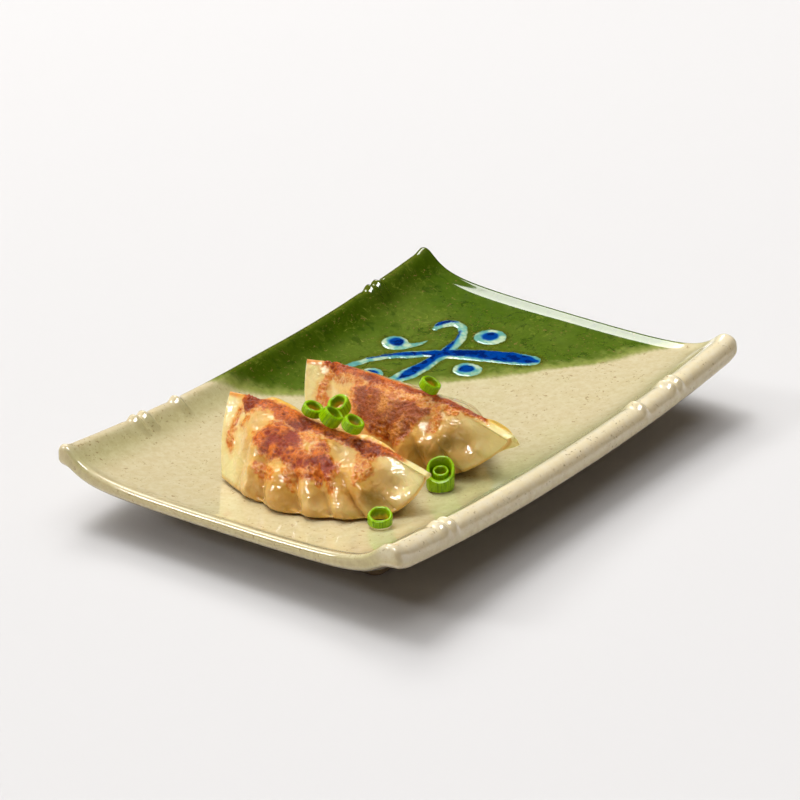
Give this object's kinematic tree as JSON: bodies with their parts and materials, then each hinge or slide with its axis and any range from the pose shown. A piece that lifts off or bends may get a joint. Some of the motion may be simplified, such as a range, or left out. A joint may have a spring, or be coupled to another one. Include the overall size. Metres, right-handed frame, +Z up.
{
  "type": "pan-fried dumplings on a plate",
  "caption": "Pleated pan-fried dumplings with browned faces and spring onion rings on a curved rectangular stoneware plate.",
  "frame": {"origin": "on the table under the middle of the plate, at the height of the foot's flat bottom", "axes": "+X along the plate's length, with the dumplings' browned faces towards -X, +Y across the plate towards the dumplings' square flaps, +Z up"},
  "size_m": [0.1904, 0.1274, 0.041],
  "materials": {
    "stoneware_glaze": "beige stoneware glaze with fine brown speckles, dark green over one corner",
    "fried_wrapper": "oily fried dough, cream to dark brown",
    "spring_onion": "moist green leaf"
  },
  "bodies": {
    "root": {"plate": "stoneware_glaze", "dumpling_front": "fried_wrapper", "dumpling_back": "fried_wrapper", "onion_ridge_left": "spring_onion", "onion_ridge_middle": "spring_onion", "onion_ridge_right": "spring_onion", "onion_ridge_long": "spring_onion", "onion_back": "spring_onion", "onion_between": "spring_onion", "onion_between_small": "spring_onion", "onion_front": "spring_onion"}
  },
  "joints": []
}
